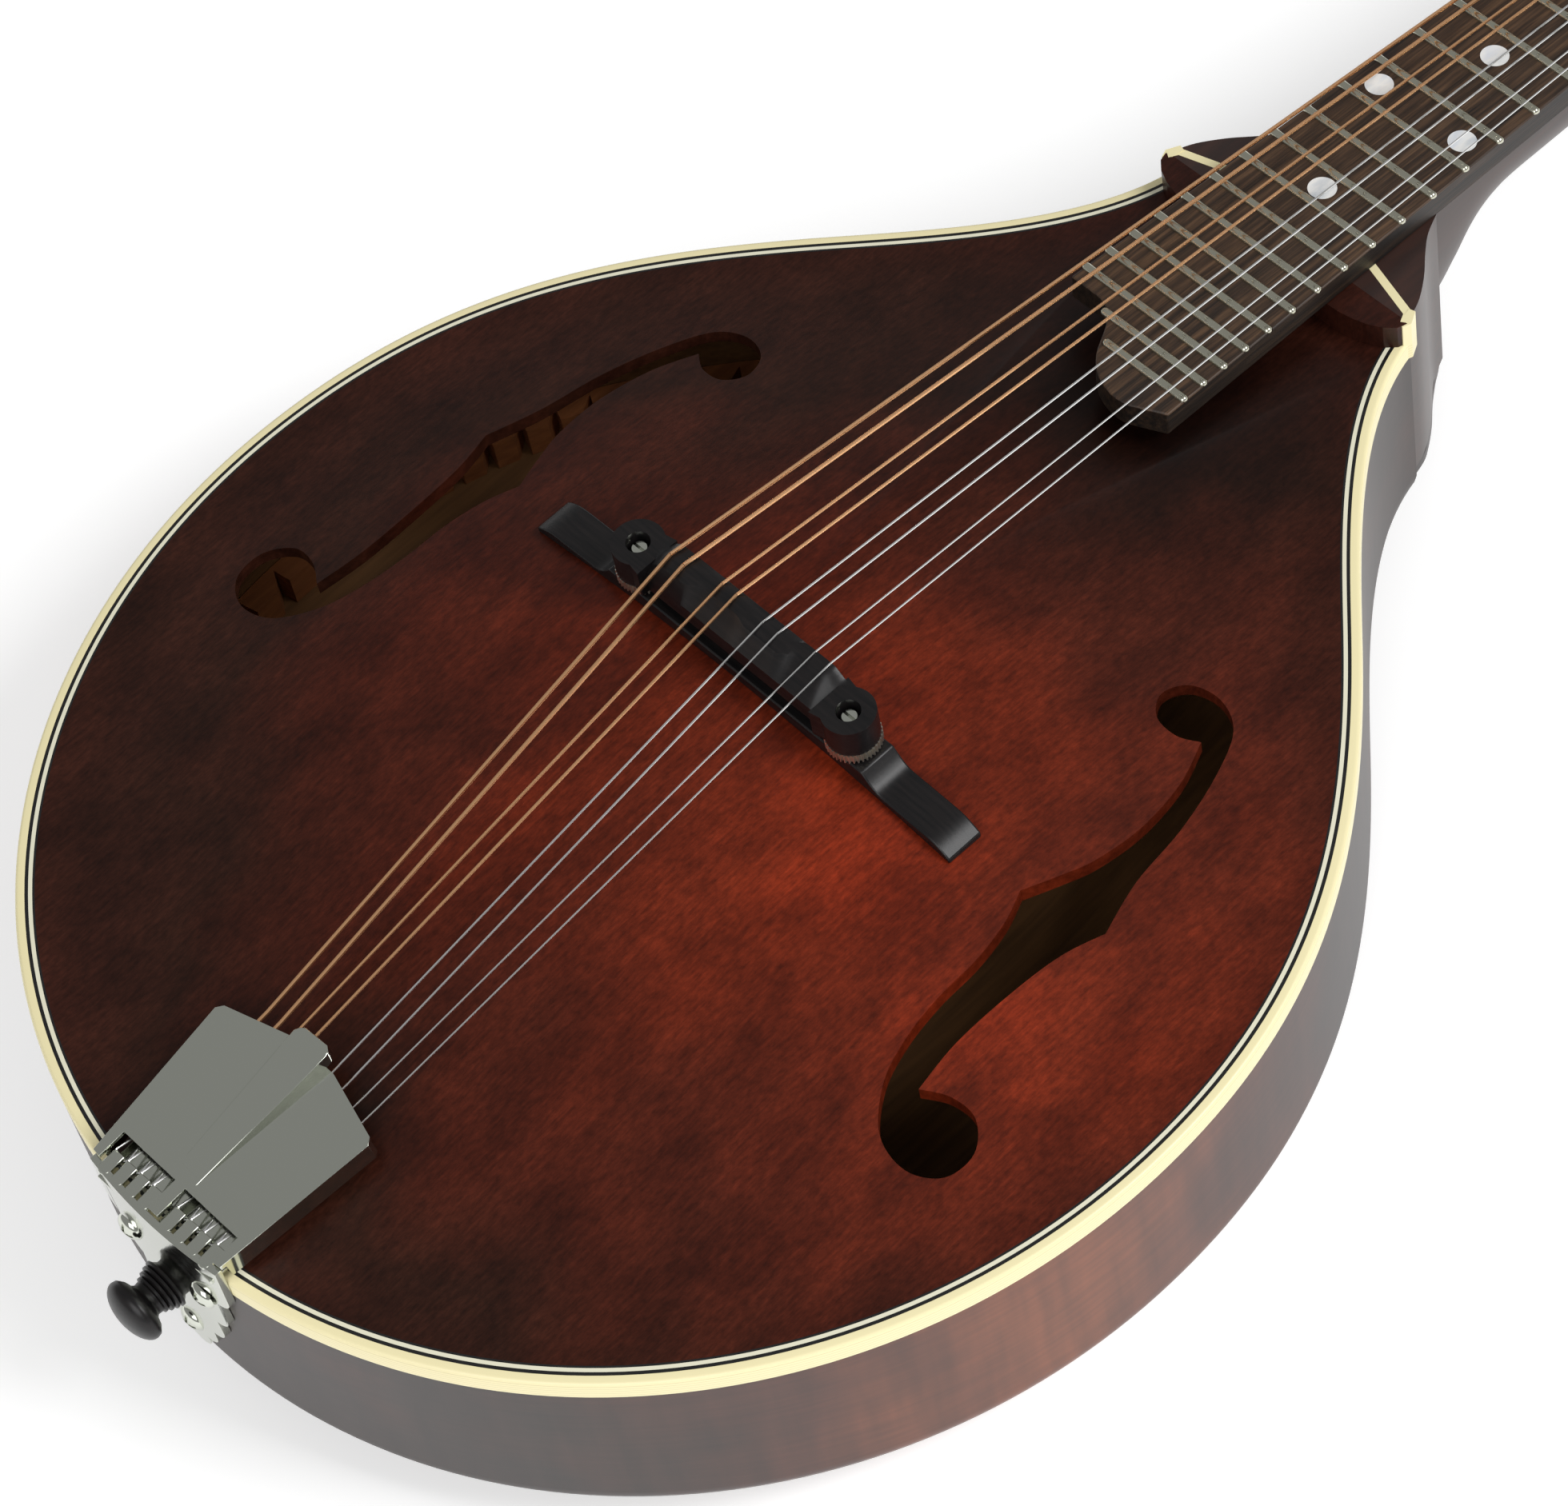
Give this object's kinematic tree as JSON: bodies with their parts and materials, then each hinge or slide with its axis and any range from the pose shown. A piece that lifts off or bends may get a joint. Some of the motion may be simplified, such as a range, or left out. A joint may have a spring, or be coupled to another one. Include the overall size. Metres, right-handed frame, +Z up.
{
  "type": "mandolin",
  "caption": "Archtop teardrop mandolin with f-holes, bound top, adjustable bridge, covered tailpiece and geared tuners.",
  "frame": {"origin": "centre of the bounding box at the height of the surface it lies on", "axes": "+Y from the tail to the head, +X to the treble side, +Z up out of the top, lying on its back"},
  "size_m": [0.2514, 0.649, 0.0951],
  "materials": {
    "top_wood": "figured wood, dark red-brown burst stain, satin lacquer",
    "side_wood": "maple, red-brown stain, satin lacquer",
    "inner_maple": "bare wood",
    "inner_spruce": "bare wood",
    "cream_binding": "satin",
    "ebony": "oiled black wood",
    "board_wood": "dry dark brown wood with metal frets",
    "nickel": "nickel plate",
    "brass": "knurled brass",
    "steel": "plain steel",
    "bronze": "wound bronze",
    "bone": "polished bone",
    "pearl": "pearl buttons on nickel shafts"
  },
  "bodies": {
    "instrument": {"top_plate": "top_wood", "fingerboard_riser": "top_wood", "back_plate": "side_wood", "rib_treble": "side_wood", "rib_bass": "side_wood", "neck": "side_wood", "lining_top_treble": "inner_maple", "lining_top_bass": "inner_maple", "lining_back_treble": "inner_maple", "lining_back_bass": "inner_maple", "neck_block": "inner_maple", "tail_block": "inner_maple", "tone_bar_treble": "inner_spruce", "tone_bar_bass": "inner_spruce", "binding": "cream_binding", "headstock_veneer": "ebony", "truss_rod_cover": "ebony", "bridge_base": "ebony", "end_pin": "ebony", "fingerboard": "board_wood", "tailpiece_base": "nickel", "tailpiece_screw_1": "nickel", "tailpiece_screw_2": "nickel", "tailpiece_screw_3": "nickel", "bridge_stud_bass": "nickel", "bridge_stud_treble": "nickel", "tuner_plate_treble": "nickel", "tuner_plate_bass": "nickel", "truss_rod": "steel", "string_5": "steel", "string_6": "steel", "string_7": "steel", "string_8": "steel", "string_1": "bronze", "string_2": "bronze", "string_3": "bronze", "string_4": "bronze", "nut": "bone"},
    "saddle": {"bridge_saddle": "ebony"},
    "wheel_bass": {"thumbwheel_bass": "brass"},
    "wheel_treble": {"thumbwheel_treble": "brass"},
    "cover": {"tailpiece_cover": "nickel"},
    "rod_nut": {"truss_rod_nut": "brass"},
    "post_1": {"tuner_post_1": "nickel"},
    "worm_1": {"tuner_worm_1": "pearl"},
    "post_2": {"tuner_post_2": "nickel"},
    "worm_2": {"tuner_worm_2": "pearl"},
    "post_3": {"tuner_post_3": "nickel"},
    "worm_3": {"tuner_worm_3": "pearl"},
    "post_4": {"tuner_post_4": "nickel"},
    "worm_4": {"tuner_worm_4": "pearl"},
    "post_5": {"tuner_post_5": "nickel"},
    "worm_5": {"tuner_worm_5": "pearl"},
    "post_6": {"tuner_post_6": "nickel"},
    "worm_6": {"tuner_worm_6": "pearl"},
    "post_7": {"tuner_post_7": "nickel"},
    "worm_7": {"tuner_worm_7": "pearl"},
    "post_8": {"tuner_post_8": "nickel"},
    "worm_8": {"tuner_worm_8": "pearl"}
  },
  "joints": [
    {"name": "saddle_lift", "type": "slide", "parent": "instrument", "child": "saddle", "axis": [0, -0.023, 0.9997], "range_m": [-0.00046, 0.0028], "deforming": ["string_1", "string_2", "string_3", "string_4", "string_5", "string_6", "string_7", "string_8"]},
    {"name": "thumbwheel_bass_turn", "type": "hinge", "parent": "saddle", "child": "wheel_bass", "pos_m": [-0.029, -0.15861, 0.08321], "axis": [0, -0.023, 0.9997], "range_deg": [-240, 1440]},
    {"name": "thumbwheel_treble_turn", "type": "hinge", "parent": "saddle", "child": "wheel_treble", "pos_m": [0.029, -0.15861, 0.08321], "axis": [0, -0.023, 0.9997], "range_deg": [-240, 1440]},
    {"name": "tailpiece_cover_slide", "type": "slide", "parent": "instrument", "child": "cover", "axis": [0, 0.9887, 0.1499], "range_m": [0, 0.01]},
    {"name": "truss_rod_nut_turn", "type": "hinge", "parent": "instrument", "child": "rod_nut", "pos_m": [0, 0.20991, 0.05018], "axis": [0, 0.9974, -0.072], "range_deg": [-180, 180]},
    {"name": "tuner_1_turn", "type": "hinge", "parent": "instrument", "child": "worm_1", "pos_m": [-0.035, 0.23315, 0.02893], "axis": [-1, 0, 0], "continuous": true},
    {"name": "post_1_turn", "type": "hinge", "parent": "instrument", "child": "post_1", "pos_m": [-0.017, 0.23124, 0.04737], "axis": [0, 0.3277, 0.9448], "continuous": true},
    {"name": "tuner_2_turn", "type": "hinge", "parent": "instrument", "child": "worm_2", "pos_m": [-0.035, 0.25488, 0.02139], "axis": [-1, 0, 0], "continuous": true},
    {"name": "post_2_turn", "type": "hinge", "parent": "instrument", "child": "post_2", "pos_m": [-0.017, 0.25297, 0.03984], "axis": [0, 0.3277, 0.9448], "continuous": true},
    {"name": "tuner_3_turn", "type": "hinge", "parent": "instrument", "child": "worm_3", "pos_m": [-0.035, 0.27661, 0.01385], "axis": [-1, 0, 0], "continuous": true},
    {"name": "post_3_turn", "type": "hinge", "parent": "instrument", "child": "post_3", "pos_m": [-0.017, 0.2747, 0.0323], "axis": [0, 0.3277, 0.9448], "continuous": true},
    {"name": "tuner_4_turn", "type": "hinge", "parent": "instrument", "child": "worm_4", "pos_m": [-0.035, 0.29834, 0.00632], "axis": [-1, 0, 0], "continuous": true},
    {"name": "post_4_turn", "type": "hinge", "parent": "instrument", "child": "post_4", "pos_m": [-0.017, 0.29643, 0.02476], "axis": [0, 0.3277, 0.9448], "continuous": true},
    {"name": "tuner_5_turn", "type": "hinge", "parent": "instrument", "child": "worm_5", "pos_m": [0.035, 0.29834, 0.00632], "axis": [1, 0, 0], "continuous": true},
    {"name": "post_5_turn", "type": "hinge", "parent": "instrument", "child": "post_5", "pos_m": [0.017, 0.29643, 0.02476], "axis": [0, 0.3277, 0.9448], "continuous": true},
    {"name": "tuner_6_turn", "type": "hinge", "parent": "instrument", "child": "worm_6", "pos_m": [0.035, 0.27661, 0.01385], "axis": [1, 0, 0], "continuous": true},
    {"name": "post_6_turn", "type": "hinge", "parent": "instrument", "child": "post_6", "pos_m": [0.017, 0.2747, 0.0323], "axis": [0, 0.3277, 0.9448], "continuous": true},
    {"name": "tuner_7_turn", "type": "hinge", "parent": "instrument", "child": "worm_7", "pos_m": [0.035, 0.25488, 0.02139], "axis": [1, 0, 0], "continuous": true},
    {"name": "post_7_turn", "type": "hinge", "parent": "instrument", "child": "post_7", "pos_m": [0.017, 0.25297, 0.03984], "axis": [0, 0.3277, 0.9448], "continuous": true},
    {"name": "tuner_8_turn", "type": "hinge", "parent": "instrument", "child": "worm_8", "pos_m": [0.035, 0.23315, 0.02893], "axis": [1, 0, 0], "continuous": true},
    {"name": "post_8_turn", "type": "hinge", "parent": "instrument", "child": "post_8", "pos_m": [0.017, 0.23124, 0.04737], "axis": [0, 0.3277, 0.9448], "continuous": true}
  ],
  "couplings": [
    {"joint": "thumbwheel_bass_turn", "follows": "saddle_lift", "rad_per_m": 8975.9},
    {"joint": "thumbwheel_treble_turn", "follows": "saddle_lift", "rad_per_m": 8975.9},
    {"joint": "post_1_turn", "follows": "tuner_1_turn", "ratio": 0.071429},
    {"joint": "post_2_turn", "follows": "tuner_2_turn", "ratio": 0.071429},
    {"joint": "post_3_turn", "follows": "tuner_3_turn", "ratio": 0.071429},
    {"joint": "post_4_turn", "follows": "tuner_4_turn", "ratio": 0.071429},
    {"joint": "post_5_turn", "follows": "tuner_5_turn", "ratio": -0.071429},
    {"joint": "post_6_turn", "follows": "tuner_6_turn", "ratio": -0.071429},
    {"joint": "post_7_turn", "follows": "tuner_7_turn", "ratio": -0.071429},
    {"joint": "post_8_turn", "follows": "tuner_8_turn", "ratio": -0.071429}
  ]
}
